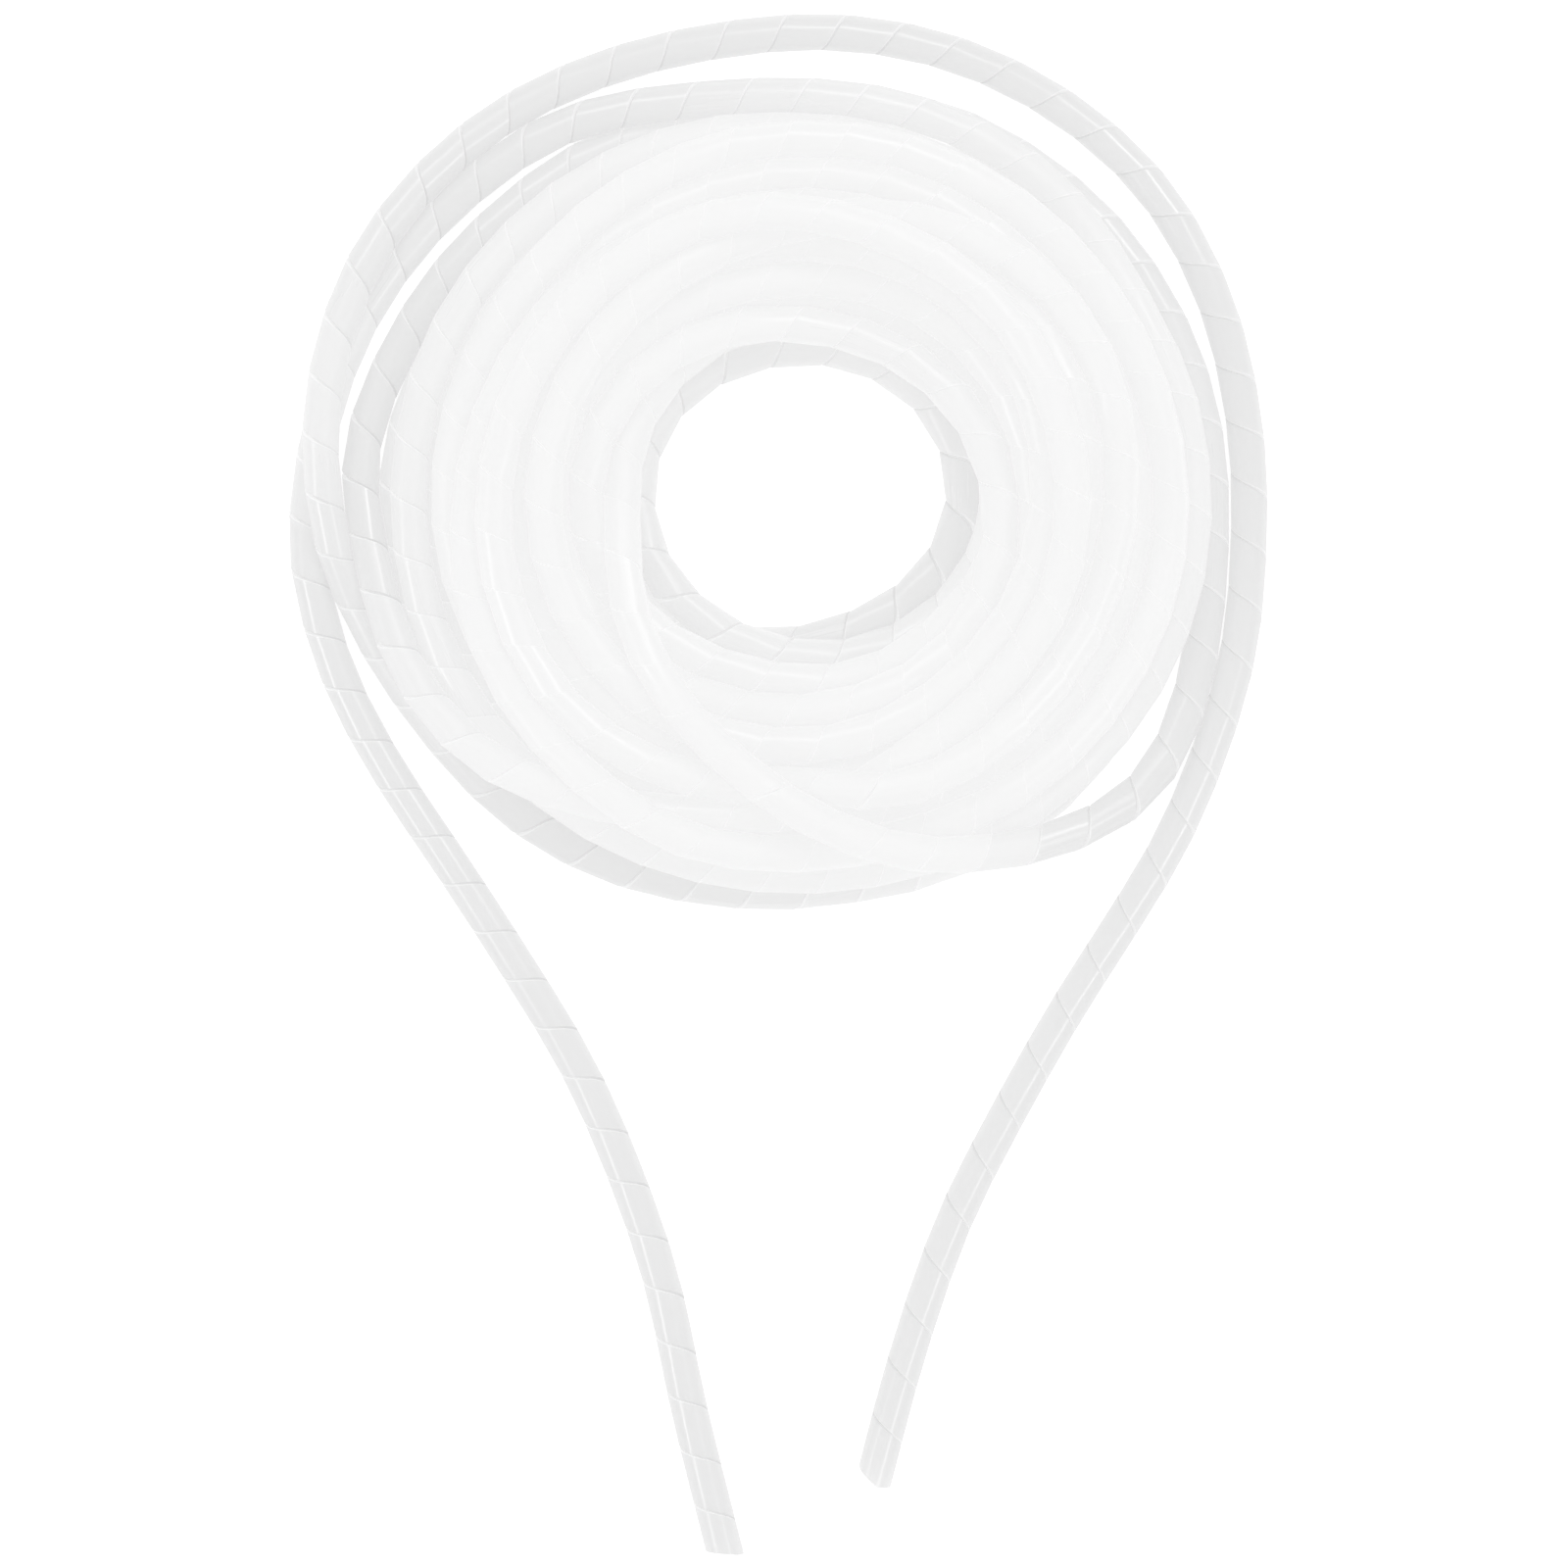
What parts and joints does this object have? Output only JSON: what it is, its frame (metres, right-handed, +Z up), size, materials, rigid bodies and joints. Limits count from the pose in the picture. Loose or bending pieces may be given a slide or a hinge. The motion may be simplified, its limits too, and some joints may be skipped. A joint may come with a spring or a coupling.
{
  "type": "spiral cable wrap",
  "caption": "Loose coil of translucent plastic tube slit along a helix, with both ends drawn out, for wrapping and bundling cables.",
  "frame": {"origin": "on the floor below the middle of the whole coil's bounding box, with its drawn-out ends counted", "axes": "+Z up from the floor the coil lies on, +Y from the two cut ends towards the ring of turns, +X to the right as seen from above"},
  "size_m": [0.215, 0.3394, 0.0358],
  "materials": {
    "natural_polyethylene": "milky translucent natural polyethylene, smooth and slightly waxy, with faint lines along the tube from extrusion"
  },
  "bodies": {
    "root": {"spiral_wrap": "natural_polyethylene"}
  },
  "joints": []
}
